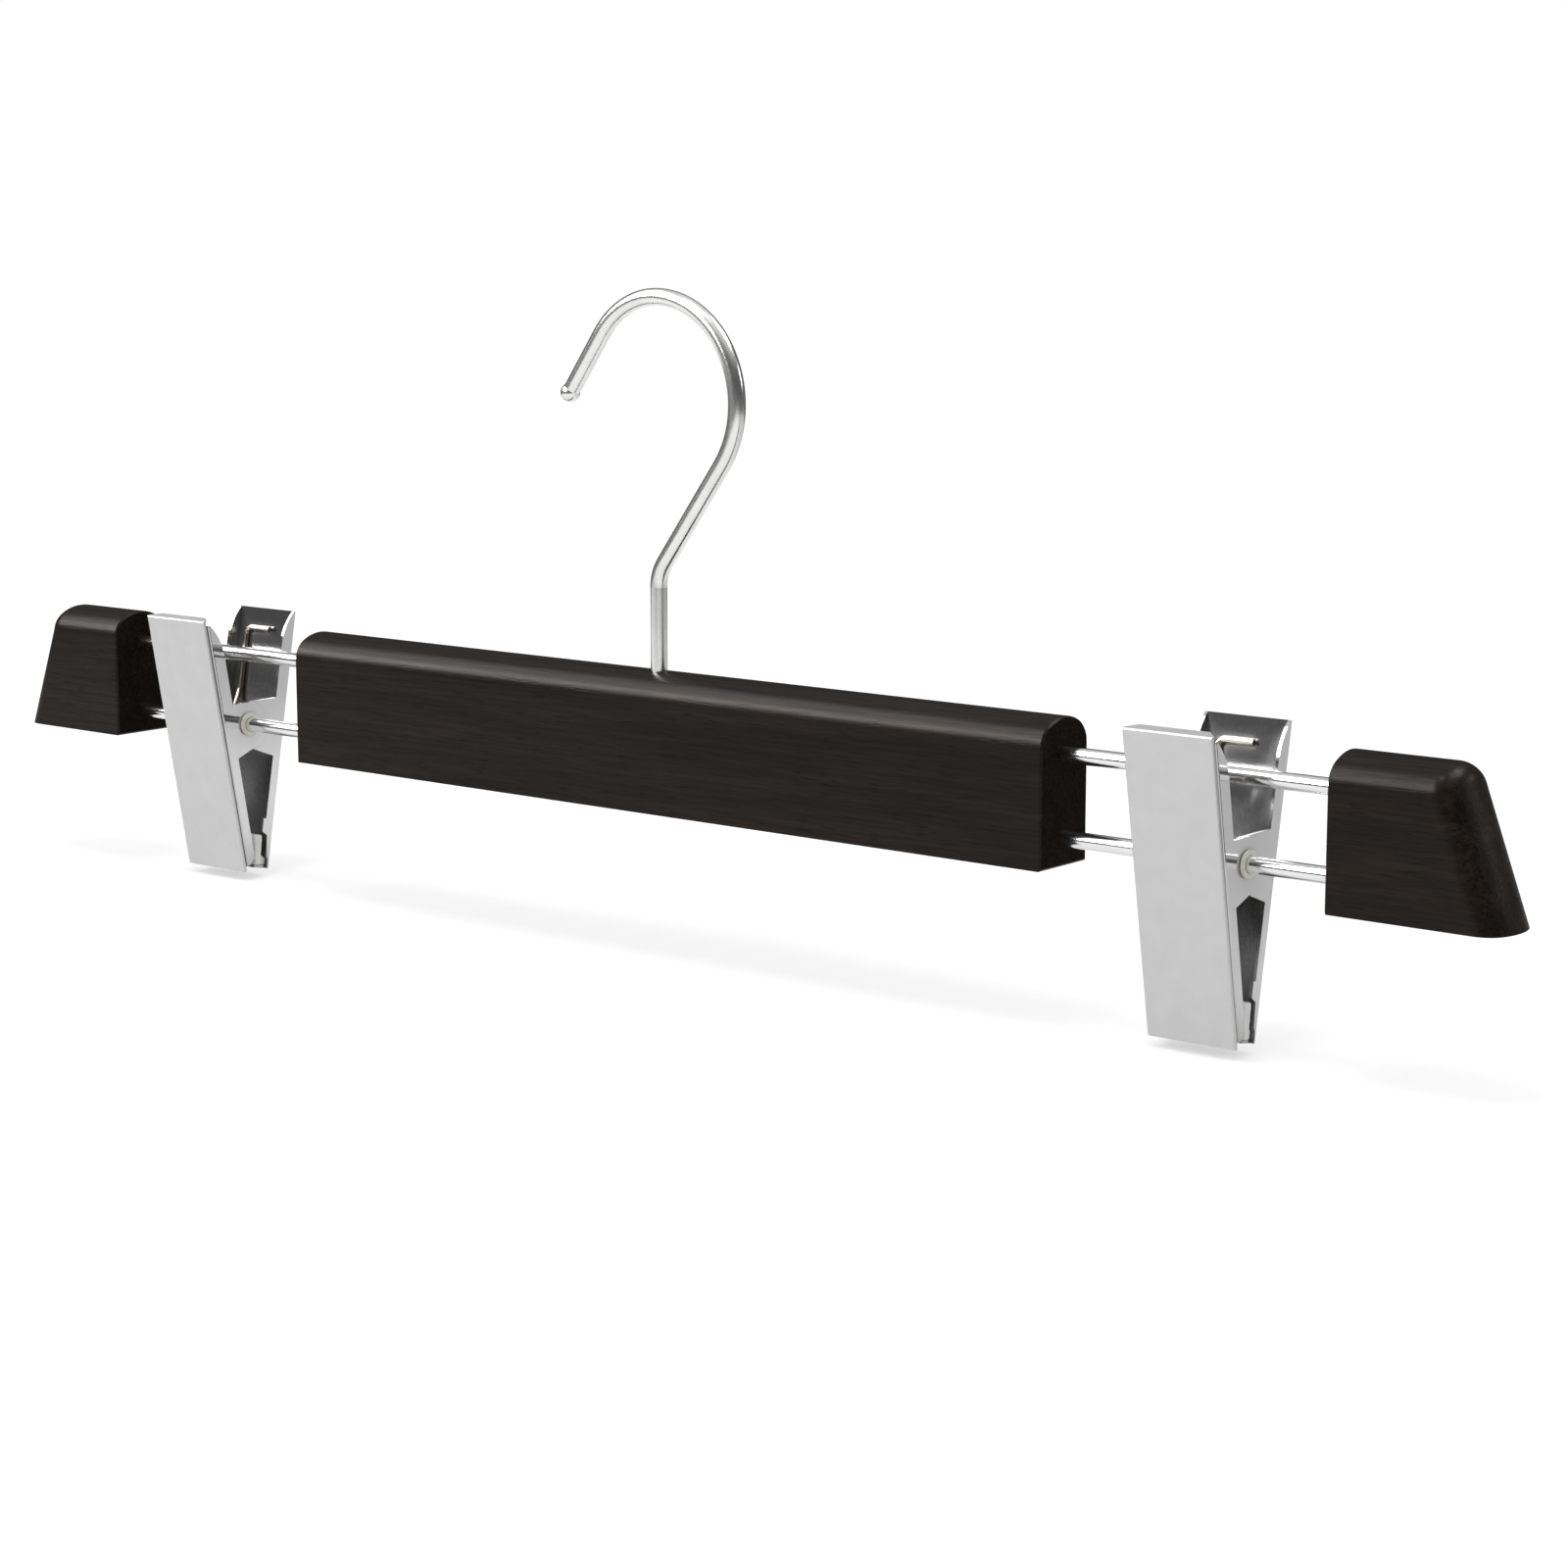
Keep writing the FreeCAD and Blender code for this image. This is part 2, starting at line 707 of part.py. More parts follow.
def make_rear_pad(label, centre):
    """A boot: a shaft that meets the front pad, as wide as the jaw, and a heel on the jaw's lip."""
    body = new_body(label)
    seat = wall + dim("pad_seat")
    plane = dim("grip_plane") + dim("grip_gap") / 2
    top = -dim("pad_top")
    bottom = seat - REAR.bottom
    heel = bottom + dim("rear_pad_heel")
    instep = heel + dim("rear_pad_instep")
    waist = dim("rear_pad_waist")
    face = [
        REAR.at(REAR.depth_of_plane(top, plane), top),
        REAR.at(REAR.depth_of_plane(bottom, plane), bottom),
    ]
    back = [
        REAR.at(REAR.depth_of_plane(instep, plane) - waist, instep),
        REAR.at(REAR.depth_of_plane(top, plane) - dim("rear_pad_top_depth"), top),
    ]
    foot = REAR.at(REAR.depth_of_plane(bottom, plane) - waist, bottom)
    add_block(body, face + [REAR.at(seat, bottom), REAR.at(seat, heel)] + back, pad_width)
    add_block(body, face + [foot] + back, dim("jaw_width"))
    REAR.put(body, centre)


def make_bush(label, centre, turn):
    """A flanged sleeve on the lower rod, from the clip's middle out through one pair of ears."""
    body = new_body(label)
    bore = rod_radius + dim("bush_bore_clearance")
    barrel = dim("bush_diameter") / 2
    flange = dim("bush_flange_diameter") / 2
    inner = dim("bush_end_clearance")
    shoulder = ear_outside + dim("bush_end_clearance")
    outer = shoulder + dim("bush_flange_thickness")
    steps = [(inner, barrel), (shoulder, barrel), (shoulder, flange), (outer, flange), (outer, bore)]
    section = new_sketch(body, "XY_Plane")
    trace(section, (inner, bore), steps + [(inner, bore)])
    turned = body.newObject("PartDesign::Revolution", f"{label}_turned")
    turned.Profile = section
    turned.ReferenceAxis = (section, ["H_Axis"])
    doc.recompute()
    place(body, x=centre, z=pivot_height, angle=turn)


def leg_seat(jaw, height):
    """The place over the pivot, in Y and Z, of a spring leg's end against a jaw's plate."""
    depth = (wall + dim("spring_wire") / 2 + dim("spring_seat")).value
    across = (jaw.offset.value - depth) * jaw.facing
    turn = math.radians(jaw.lean.value) * -jaw.facing
    y = across * math.cos(turn) - height.value * math.sin(turn)
    z = across * math.sin(turn) + height.value * math.cos(turn)
    return FreeCAD.Vector(0, y, z)


def arc_from(start, tangent, end):
    """An arc that leaves a point along a tangent and ends at another point."""
    chord = end - start
    aside = tangent - chord * (tangent.dot(chord) / chord.dot(chord))
    if aside.Length < pick_share * pick_share:
        return Part.LineSegment(start, end).toShape()
    lean = math.atan2(aside.Length, tangent.dot(chord) / chord.Length)
    rise = chord.Length / 2 * math.tan(lean / 2)
    return Part.Arc(start, (start + end) / 2 + aside.normalize() * rise, end).toShape()


def biarc(start, start_tangent, end, end_tangent):
    """Two arcs that join two points and keep both tangents."""
    span = end - start
    both = start_tangent + end_tangent
    a = 2 * (1 - start_tangent.dot(end_tangent))
    b = 2 * span.dot(both)
    reach = (math.sqrt(b * b + 4 * a * span.dot(span)) - b) / (2 * a)
    meet = (start + start_tangent * reach + end - end_tangent * reach) / 2
    second = arc_from(end, end_tangent * -1, meet)
    second.reverse()
    return [arc_from(start, start_tangent, meet), second]


def bent_leg(seat, tangent_point, along, arm_side):
    """Edges of a straight leg up to its seat, a bend, and an arm along the rod's direction."""
    x = tangent_point.x
    bend = dim("spring_bend_radius").value
    corner = FreeCAD.Vector(x, seat.y, seat.z)
    bend_start = corner - along * bend
    bend_end = corner + X_AXIS * arm_side * bend
    arm_end = corner + X_AXIS * arm_side * dim("spring_arm").value
    return [
        Part.LineSegment(tangent_point, bend_start).toShape(),
        arc_from(bend_start, along, bend_end),
        Part.LineSegment(bend_end, arm_end).toShape(),
    ]


def knee_start(seat, radius, up):
    """Where a leg that runs down along the rear plate starts to curve in under the coil."""
    aside = FreeCAD.Vector(0, up.z, -up.y)
    rise = (seat.dot(aside) - radius) / (1 - up.y)
    return aside * (radius + rise) + Z_AXIS * rise


def spring_edges():
    """The spring's centreline: the rear arm and leg, the coil, and the front leg and arm."""
    wire = dim("spring_wire").value
    radius = dim("bush_diameter").value / 2 + dim("spring_bore_clearance").value + wire / 2
    half_width = dim("spring_width").value / 2
    rear_seat = leg_seat(REAR, dim("rear_leg_height"))
    front_seat = leg_seat(FRONT, dim("front_leg_height"))
    first = -math.pi / 2
    last = math.atan2(front_seat.z, front_seat.y) + math.acos(radius / front_seat.Length)
    last -= 2 * math.pi * (int(dim("spring_whole_turns").value) + 1)
    spans = math.ceil((first - last) / (math.pi / 2))
    climb = 2 * half_width / (first - last)

    def station(number):
        share = number / spans
        angle = first + (last - first) * share
        point = FreeCAD.Vector(
            half_width * (2 * share - 1), radius * math.cos(angle), radius * math.sin(angle)
        )
        slope = 0 if number in (0, spans) else climb
        tangent = FreeCAD.Vector(slope, radius * math.sin(angle), -radius * math.cos(angle))
        return point, tangent.normalize()

    stations = [station(number) for number in range(spans + 1)]
    coil = []
    for one, other in zip(stations, stations[1:]):
        coil.extend(biarc(*one, *other))
    lean = math.radians(REAR.lean.value)
    up = FreeCAD.Vector(0, math.sin(lean), math.cos(lean))
    knee = knee_start(rear_seat, radius, up) - X_AXIS * half_width
    rear_leg = bent_leg(rear_seat, knee, up, 1)
    for edge in rear_leg:
        edge.reverse()
    curve = arc_from(knee, up * -1, stations[0][0])
    front_leg = bent_leg(front_seat, *stations[-1], -1)
    return rear_leg[::-1] + [curve] + coil + front_leg


def least_gap(path, wire):
    """The least gap between turns, on points spread along the path and further apart than a bend."""
    steps = math.ceil(path.Length / (wire * sample_share))
    points = path.discretize(Number=steps + 1)
    apart = math.ceil(math.pi / sample_share)
    gaps = [
        (two - one).Length - wire
        for number, one in enumerate(points)
        for two in points[number + apart:]
    ]
    return min(gaps)


def make_spring(label, centre):
    wire = dim("spring_wire").value
    edges = spring_edges()
    path = Part.Wire(Part.__sortEdges__(edges))
    start = edges[0].valueAt(edges[0].LastParameter)
    ring = Part.Wire([Part.Circle(start, X_AXIS, wire / 2).toShape()])
    spring = new_part("Part::Feature", label)
    spring.Shape = path.makePipeShell([ring], True, False)
    place(spring, x=centre, z=pivot_height)
    section = math.pi * wire * wire / 4
    print(label, "least gap", round(least_gap(path, wire), 3))
    print(label, "volume over section times length", round(spring.Shape.Volume / section / path.Length, 4))


def make_clip(side, centre, outer_turn, inner_turn):
    make_bush(f"{side}_outer_bush", centre, outer_turn)
    make_bush(f"{side}_inner_bush", centre, inner_turn)
    make_spring(f"{side}_spring", centre)
    make_jaw(f"{side}_front_jaw", FRONT, centre)
    make_cover(f"{side}_front_cover", centre)
    make_front_pad(f"{side}_front_pad", centre)
    make_jaw(f"{side}_rear_jaw", REAR, centre)
    make_rear_pad(f"{side}_rear_pad", centre)


def check_parts():
    doc.recompute()
    for item in doc.Objects:
        if "Invalid" in item.State or "Error" in item.State:
            raise RuntimeError(f"{item.Label} failed: {item.State}")
    for part in parts:
        if part.Shape.isNull() or not part.Shape.isValid():
            raise RuntimeError(f"{part.Label} has no valid shape")


make_hook()
make_hook_fasteners()
make_center_bar()
make_end_cap("right_end_cap", cap_start, ZERO)
make_end_cap("left_end_cap", -cap_start, HALF_TURN)
bar_socket_end = half_bar - dim("rod_socket_in_bar") + dim("rod_end_play")
cap_socket_end = cap_start + dim("rod_socket_in_cap") - dim("rod_end_play")
for level in ("upper", "lower"):
    make_rod(f"right_{level}_rod", bar_socket_end, dim(f"{level}_rod_height"))
    make_rod(f"left_{level}_rod", -cap_socket_end, dim(f"{level}_rod_height"))
make_clip("right", half_bar + dim("right_clip_place"), ZERO, HALF_TURN)
make_clip("left", -half_bar - dim("left_clip_place"), HALF_TURN, ZERO)
check_parts()

os.makedirs("parts", exist_ok=True)
for part in parts:
    part.Shape.exportStep(f"parts/{part.Label}.step")
    box = part.Shape.BoundBox
    print(part.Label, "solids", len(part.Shape.Solids), "volume", round(part.Shape.Volume, 1), box)
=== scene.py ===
import json
import math

import bmesh
import bpy
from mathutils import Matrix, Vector


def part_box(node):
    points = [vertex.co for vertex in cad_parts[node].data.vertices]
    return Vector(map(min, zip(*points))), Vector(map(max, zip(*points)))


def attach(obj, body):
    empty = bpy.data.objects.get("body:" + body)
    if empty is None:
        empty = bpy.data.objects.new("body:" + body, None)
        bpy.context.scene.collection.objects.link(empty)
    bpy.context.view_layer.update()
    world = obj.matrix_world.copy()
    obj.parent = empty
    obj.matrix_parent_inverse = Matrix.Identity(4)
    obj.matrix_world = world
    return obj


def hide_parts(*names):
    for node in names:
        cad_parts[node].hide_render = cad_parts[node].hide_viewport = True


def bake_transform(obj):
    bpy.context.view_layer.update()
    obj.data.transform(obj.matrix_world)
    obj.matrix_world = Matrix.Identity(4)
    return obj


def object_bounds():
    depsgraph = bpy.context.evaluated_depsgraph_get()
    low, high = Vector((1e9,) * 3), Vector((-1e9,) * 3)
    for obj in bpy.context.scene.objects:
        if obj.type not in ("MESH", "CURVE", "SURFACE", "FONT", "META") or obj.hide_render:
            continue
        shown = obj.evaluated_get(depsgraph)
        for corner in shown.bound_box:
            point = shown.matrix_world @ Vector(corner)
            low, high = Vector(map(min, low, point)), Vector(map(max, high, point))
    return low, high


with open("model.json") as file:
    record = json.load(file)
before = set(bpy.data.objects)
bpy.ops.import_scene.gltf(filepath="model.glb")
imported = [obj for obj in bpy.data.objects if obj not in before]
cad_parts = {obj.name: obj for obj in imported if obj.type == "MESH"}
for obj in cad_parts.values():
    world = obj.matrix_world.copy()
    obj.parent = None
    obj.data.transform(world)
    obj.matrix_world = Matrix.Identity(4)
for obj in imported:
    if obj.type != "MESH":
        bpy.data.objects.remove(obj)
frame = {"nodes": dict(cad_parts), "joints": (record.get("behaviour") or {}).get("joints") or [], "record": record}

cad_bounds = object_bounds()
nodes = frame["nodes"]
joints = {joint["name"]: joint for joint in frame["joints"]}
SIDES = ("left", "right")

# Camera, fitted to the photograph's bar, rods and hook
CAMERA_PLACE = (0.42558, -0.48891, 0.02046)
CAMERA_AZIMUTH = math.radians(38.936)
CAMERA_ELEVATION = math.radians(9.757)
CAMERA_LENS = 78.664
CAMERA_SENSOR = 36.0

# Floor, a little below the clips, which hang over it
FLOOR_GAP = 0.0016
FLOOR_WIDTH = 1.1
FLOOR_LIFT = 0.50

# How white metal sees the floor: less so from one distance to another, towards the back right
NEAR_LIFT_IN_METAL = 0.40
FAR_LIFT_IN_METAL = 0.05
FLOOR_DIMS_TOWARDS = (0.62, 0.77, 0.0)
FLOOR_DIMS_FROM = 0.05
FLOOR_DIM_AT = 0.22

# Even light from all round, and what metal mirrors of it: levels from the horizon up to the top
STUDIO_LEVEL = 0.82
MIRRORED_LEVELS = ((0.0, 0.12), (0.08, 0.08), (0.3, 0.08), (0.5, 0.15), (0.75, 0.60), (1.0, 0.80))

# Lamps: place, width, height and level. Only the first also lights what is not glossy
LAMP_TARGET = (0.0, 0.0, -0.08)
LAMPS = {
    "overhead": ((0.0, -0.36, 1.5), 0.4, 0.4, 8.0),
    "left_low": ((-0.744, -0.849, 0.472), 1.15, 0.34, 12.1),
    "left_high": ((-0.64, -0.50, 0.79), 1.15, 0.6, 4.2),
    "right_low": ((0.862, 0.819, 0.36), 0.5, 0.3, 2.2),
    "right_high": ((0.52, 0.52, 0.99), 0.5, 0.5, 6.0),
}

# Springs: what the frame's box of a spring does not give
WIRE = 0.0012
WHOLE_TURNS = 5
LEG_BEND = 0.0015
ARM_LENGTH = 0.0072
FRONT_LEG_DROP = 0.00015
REAR_LEG_LEAN = math.radians(10.2)
TURN_STEPS = 48
BEND_STEPS = 10
KNEE_STEPS = 20
WIRE_SIDES = 6

# Where each half of a spring starts and ends to bend, as shares of the way from its coil to its leg
REAR_BEND_SHARES = (0.25, 1.0)
FRONT_BEND_SHARES = (0.05, 0.81)

# Soft pads
PAD_VOXEL = 0.00022
PAD_SOFTENING = 8
GROOVE_PITCH = 0.0012
GROOVE_DEPTH = 0.00014
GRIP_FACING = 0.7

# The middle of a noise, which a look spreads out, and how far along the grain end grain faces
NOISE_MIDDLE = (0.3, 0.7)
END_GRAIN = (0.96, 0.99)


def grey(value):
    return (value, value, value)


def set_stops(ramp, stops):
    """Set a colour ramp's (place, colour) stops."""
    elements = ramp.color_ramp.elements
    while len(elements) < len(stops):
        elements.new(1.0)
    for element, (place, colour) in zip(elements, stops):
        element.position = place
        element.color = (*colour, 1.0)


class Look:
    """A material under construction: its node tree, its shader and the object's own coordinates."""

    def __init__(self, name):
        self.material = bpy.data.materials.new(name)
        self.material.use_nodes = True
        self.tree = self.material.node_tree
        self.shader = self.tree.nodes["Principled BSDF"]
        places = self.add("ShaderNodeTexCoord")
        self.coordinates = places.outputs["Object"]
        self.normals = places.outputs["Normal"]

    def add(self, kind, **settings):
        node = self.tree.nodes.new(kind)
        for setting, value in settings.items():
            setattr(node, setting, value)
        return node

    def link(self, output, socket):
        self.tree.links.new(output, socket)

    def set(self, **values):
        """Set constants on the shader, its socket names written with underscores."""
        for name, value in values.items():
            self.shader.inputs[name.replace("_", " ")].default_value = value

    def noise(self, size, stretch=(1, 1, 1), detail=3.0, distortion=0.0):
        """Noise with grains of a size in metres, drawn out along each axis by stretch."""
        mapping = self.add("ShaderNodeMapping")
        mapping.inputs["Scale"].default_value = [1 / (size * share) for share in stretch]
        noise = self.add("ShaderNodeTexNoise")
        noise.inputs["Scale"].default_value = 1.0
        noise.inputs["Detail"].default_value = detail
        noise.inputs["Distortion"].default_value = distortion
        self.link(self.coordinates, mapping.inputs["Vector"])
        self.link(mapping.outputs["Vector"], noise.inputs["Vector"])
        return noise.outputs["Fac"]

    def ramp(self, factor, *stops):
        """A colour ramp over (place, colour) stops."""
        ramp = self.add("ShaderNodeValToRGB")
        set_stops(ramp, stops)
        self.link(factor, ramp.inputs["Fac"])
        return ramp.outputs["Color"]

    def span(self, factor, low, high):
        """The middle of a noise spread from a low to a high value."""
        spread = self.add("ShaderNodeMapRange")
        spread.inputs["From Min"].default_value = NOISE_MIDDLE[0]
        spread.inputs["From Max"].default_value = NOISE_MIDDLE[1]
        spread.inputs["To Min"].default_value = low
        spread.inputs["To Max"].default_value = high
        self.link(factor, spread.inputs["Value"])
        return spread.outputs["Result"]

    def over_middle(self, factor, low, high):
        """Colours from low to high over the middle of a noise."""
        return self.ramp(factor, (NOISE_MIDDLE[0], low), (NOISE_MIDDLE[1], high))

    def by_grain(self, facing, side, end):
        """A grey for the sides of the wood and one for its end grain."""
        return self.ramp(facing, (END_GRAIN[0], grey(side)), (END_GRAIN[1], grey(end)))

    def along_grain(self):
        """How far the surface faces along X, the way the wood's grain runs."""
        split = self.add("ShaderNodeSeparateXYZ")
        self.link(self.normals, split.inputs["Vector"])
        size = self.add("ShaderNodeMath", operation="ABSOLUTE")
        self.link(split.outputs["X"], size.inputs[0])
        return size.outputs["Value"]

    def openness(self, reach):
        """How open the surface is to light within a reach."""
        shade = self.add("ShaderNodeAmbientOcclusion", samples=8)
        shade.inputs["Distance"].default_value = reach
        return shade.outputs["AO"]

    def sum(self, one, two):
        total = self.add("ShaderNodeMath", operation="ADD")
        self.link(one, total.inputs[0])
        self.link(two, total.inputs[1])
        return total.outputs["Value"]

    def multiply(self, one, two):
        mix = self.add("ShaderNodeMix", data_type="RGBA", blend_type="MULTIPLY")
        mix.inputs["Factor"].default_value = 1.0
        self.link(one, mix.inputs["A"])
        self.link(two, mix.inputs["B"])
        return mix.outputs["Result"]

    def bump(self, height, depth, strength=1.0):
        bump = self.add("ShaderNodeBump")
        bump.inputs["Strength"].default_value = strength
        bump.inputs["Distance"].default_value = depth
        self.link(height, bump.inputs["Height"])
        self.link(bump.outputs["Normal"], self.shader.inputs["Normal"])

    def colour(self, output):
        self.link(output, self.shader.inputs["Base Color"])

    def roughness(self, output):
        self.link(output, self.shader.inputs["Roughness"])


def wood():
    """Dark stained wood: brown waves, fine grain and short pores along the bar, under satin lacquer."""
    look = Look("dark_wood")
    waves = look.noise(0.006, (14, 1, 1), detail=2.0, distortion=0.6)
    grain = look.noise(0.0007, (26, 1, 1), detail=4.0)
    pores = look.noise(0.00034, (16, 1, 1), detail=1.0)
    stain = look.ramp(waves, (0.35, (0.0095, 0.0063, 0.0042)), (0.65, (0.0185, 0.0123, 0.0083)))
    streaks = look.ramp(grain, (0.36, grey(0.55)), (0.64, grey(1.30)))
    pits = look.ramp(pores, (0.33, grey(0.35)), (0.42, grey(1.0)))
    end_grain = look.along_grain()
    # End faces are darker: partly the end grain's own deeper stain, partly painted shade for faces turned away
    # from the light.
    darkening_with_painted_shade = look.by_grain(end_grain, 1.0, 0.55)
    look.colour(look.multiply(look.multiply(look.multiply(stain, streaks), pits), darkening_with_painted_shade))
    roughened = look.by_grain(end_grain, 0.0, 0.30)
    look.roughness(look.sum(look.span(grain, 0.36, 0.28), roughened))
    look.bump(pits, 0.00003, 0.5)
    sheen = look.by_grain(end_grain, 0.15, 0.04)
    look.link(sheen, look.shader.inputs["Specular IOR Level"])
    look.set(Specular_Tint=(1.0, 0.92, 0.86, 1.0))
    return look.material


def rod_chrome():
    """Polished plate with faint drawing lines along the rod."""
    look = Look("rod_chrome")
    lines = look.noise(0.00022, (60, 1, 1), detail=2.0)
    haze = look.noise(0.004, (3, 1, 1))
    look.colour(look.over_middle(haze, (0.80, 0.80, 0.81), (0.87, 0.87, 0.87)))
    look.roughness(look.span(lines, 0.12, 0.18))
    look.bump(lines, 0.000004, 0.6)
    look.set(Metallic=1.0)
    return look.material


def hook_chrome():
    """Satin plate on the bent wire."""
    look = Look("hook_chrome")
    grain = look.noise(0.0003)
    haze = look.noise(0.005)
    look.colour(look.over_middle(haze, (0.79, 0.79, 0.78), (0.86, 0.86, 0.85)))
    look.roughness(look.span(grain, 0.19, 0.25))
    look.bump(grain, 0.000003, 0.5)
    look.set(Metallic=1.0)
    return look.material


def plated_sheet():
    """Bright plated sheet with a fine rolling grain; its colour carries painted shade inside the fold, from
    ambient occlusion, and it is rougher there.
    """
    look = Look("plated_sheet")
    grain = look.noise(0.0002, (1, 1, 18), detail=2.0)
    haze = look.noise(0.005)
    plate = look.over_middle(haze, grey(0.63), grey(0.67))
    # Painted shade: the plate's colour is darkened where the fold closes it in, by ambient occlusion.
    openness = look.openness(0.014)
    darkening_with_painted_shade = look.ramp(openness, (0.20, grey(0.34)), (0.95, grey(1.0)))
    look.colour(look.multiply(plate, darkening_with_painted_shade))
    hazed = look.ramp(openness, (0.25, grey(0.28)), (0.90, grey(0.0)))
    look.roughness(look.sum(look.span(grain, 0.07, 0.11), hazed))
    look.bump(grain, 0.000003, 0.5)
    look.set(Metallic=1.0)
    return look.material


def satin_cover():
    """Satin plated cover, slightly mottled."""
    look = Look("satin_cover")
    grain = look.noise(0.00018, (1, 1, 3), detail=3.0)
    mottle = look.noise(0.0035, detail=2.0)
    look.colour(look.over_middle(mottle, grey(0.64), grey(0.67)))
    look.roughness(look.span(grain, 0.42, 0.50))
    look.bump(grain, 0.000006, 0.5)
    look.set(Metallic=0.6)
    return look.material


def spring_nickel():
    """Bright, slightly warm nickel on drawn wire."""
    look = Look("spring_nickel")
    haze = look.noise(0.0016)
    grain = look.noise(0.00015)
    look.colour(look.over_middle(haze, (0.62, 0.58, 0.51), (0.72, 0.68, 0.61)))
    look.roughness(look.span(grain, 0.08, 0.14))
    look.bump(grain, 0.000003, 0.5)
    look.set(Metallic=1.0)
    return look.material


def wire_end_painted_dark():
    """The cut end of the spring's wire, painted nearly black as painted shade."""
    look = Look("wire_end_painted_dark")
    grain = look.noise(0.00025)
    look.colour(look.ramp(grain, (0.35, (0.02, 0.018, 0.016)), (0.65, (0.07, 0.06, 0.05))))
    look.roughness(look.span(grain, 0.45, 0.65))
    look.bump(grain, 0.00004, 0.6)
    look.set(Metallic=0.6)
    return look.material


def bush_plastic():
    """Natural plastic, cream and a little translucent."""
    look = Look("bush_plastic")
    cloud = look.noise(0.0012)
    look.colour(look.over_middle(cloud, (0.76, 0.73, 0.64), (0.84, 0.82, 0.74)))
    look.roughness(look.span(cloud, 0.32, 0.44))
    look.set(Subsurface_Weight=0.35, Subsurface_Scale=0.0012)
    return look.material


def soft_plastic():
    """Soft translucent pad plastic with a fine moulded grain."""
    look = Look("soft_plastic")
    grain = look.noise(0.00025)
    cloud = look.noise(0.002)
    look.colour(look.over_middle(cloud, (0.76, 0.76, 0.74), (0.84, 0.84, 0.82)))
    look.roughness(look.span(grain, 0.42, 0.56))
    look.bump(grain, 0.00001, 0.4)
    look.set(Subsurface_Weight=0.4, Subsurface_Scale=0.0015)
    return look.material


LOOKS = {
    "wood": wood(),
    "rod_chrome": rod_chrome(),
    "hook_wire": hook_chrome(),
    "steel_sheet": plated_sheet(),
    "cover_sheet": satin_cover(),
    "spring_wire": spring_nickel(),
    "bush_plastic": bush_plastic(),
    "soft_pad": soft_plastic(),
}
# The wire's end face, painted nearly black as painted shade.
WIRE_END_PAINTED_DARK = wire_end_painted_dark()


def dress_nodes():
    for subpart in frame["record"]["subparts"]:
        materials = nodes[subpart["node"]].data.materials
        materials.clear()
        materials.append(LOOKS[subpart["material_slot"]])


def new_piece(name, mesh, slot):
    piece = bpy.data.objects.new(name, mesh)
    bpy.context.scene.collection.objects.link(piece)
    mesh.materials.clear()
    mesh.materials.append(LOOKS[slot])
    return piece


def applied_mesh(piece):
    """The piece's mesh with its modifiers worked in."""
    depsgraph = bpy.context.evaluated_depsgraph_get()
    return bpy.data.meshes.new_from_object(piece.evaluated_get(depsgraph))


def groove_grip_face(mesh, facing):
    """Press shallow level grooves into the pad's face that meets the other pad."""
    for vertex in mesh.vertices:
        toward = max(0.0, vertex.normal.y * facing - GRIP_FACING) / (1 - GRIP_FACING)
        wave = 0.5 - 0.5 * math.cos(vertex.co.z * math.tau / GROOVE_PITCH)
        vertex.co.y -= facing * GROOVE_DEPTH * toward * wave


def make_pad(side, end, facing):
    """A moulded pad: the CAD pad's form with soft edges and a grooved grip face."""
    node = f"{side}_{end}_pad"
    pad = new_piece(f"{node}_soft", nodes[node].data.copy(), "soft_pad")
    remesh = pad.modifiers.new("remesh", "REMESH")
    remesh.mode = "VOXEL"
    remesh.voxel_size = PAD_VOXEL
    soften = pad.modifiers.new("soften", "SMOOTH")
    soften.factor = 0.5
    soften.iterations = PAD_SOFTENING
    pad.data = applied_mesh(pad)
    pad.modifiers.clear()
    groove_grip_face(pad.data, facing)
    pad.data.shade_smooth()
    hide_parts(node)
    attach(pad, f"{side}_{end}_jaw")


def arc_points(corner, before, after, radius, steps):
    """Points round a corner, between directions towards it and away from it, square to each other."""
    centre = corner - before * radius + after * radius
    points = []
    for step in range(steps + 1):
        turn = math.pi / 2 * step / steps
        points.append(centre - after * radius * math.cos(turn) + before * radius * math.sin(turn))
    return points


